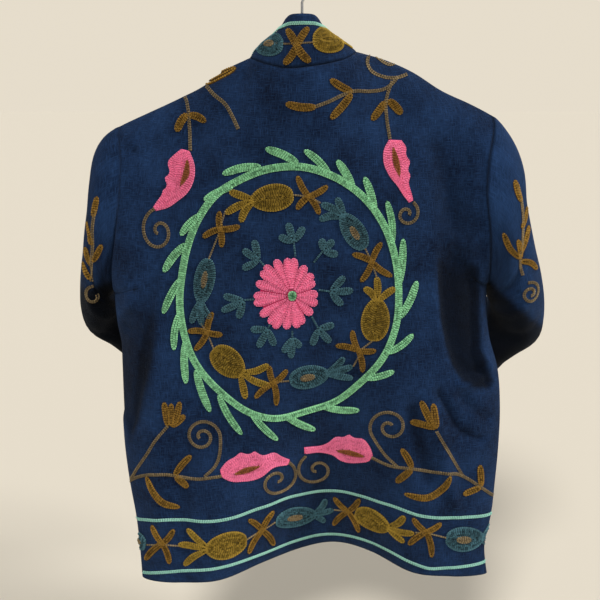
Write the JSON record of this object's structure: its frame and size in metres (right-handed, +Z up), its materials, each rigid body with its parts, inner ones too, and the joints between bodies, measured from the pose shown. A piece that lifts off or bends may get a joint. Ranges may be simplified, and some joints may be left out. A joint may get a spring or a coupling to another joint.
{
  "type": "jacket on a hanger",
  "caption": "Open-front jacket with a stand collar and set-in sleeves, hanging from a wire hook on a plain hanger bar, sleeves bent forward.",
  "frame": {"origin": "inside apex of the hanger hook, where it rests on the rail that carries it", "axes": "+Z up, +X towards the wearer's right sleeve, +Y towards the wearer's front, so the embroidered back faces -Y"},
  "size_m": [0.6315, 0.3496, 0.793],
  "materials": {
    "cloth": "matte",
    "hanger_wood": "satin",
    "hook_steel": "satin"
  },
  "bodies": {
    "root": {"back": "cloth", "front_left": "cloth", "front_right": "cloth", "sleeve_left": "cloth", "sleeve_right": "cloth", "collar": "cloth", "hanger_bar": "hanger_wood", "hanger_hook": "hook_steel"}
  },
  "joints": []
}
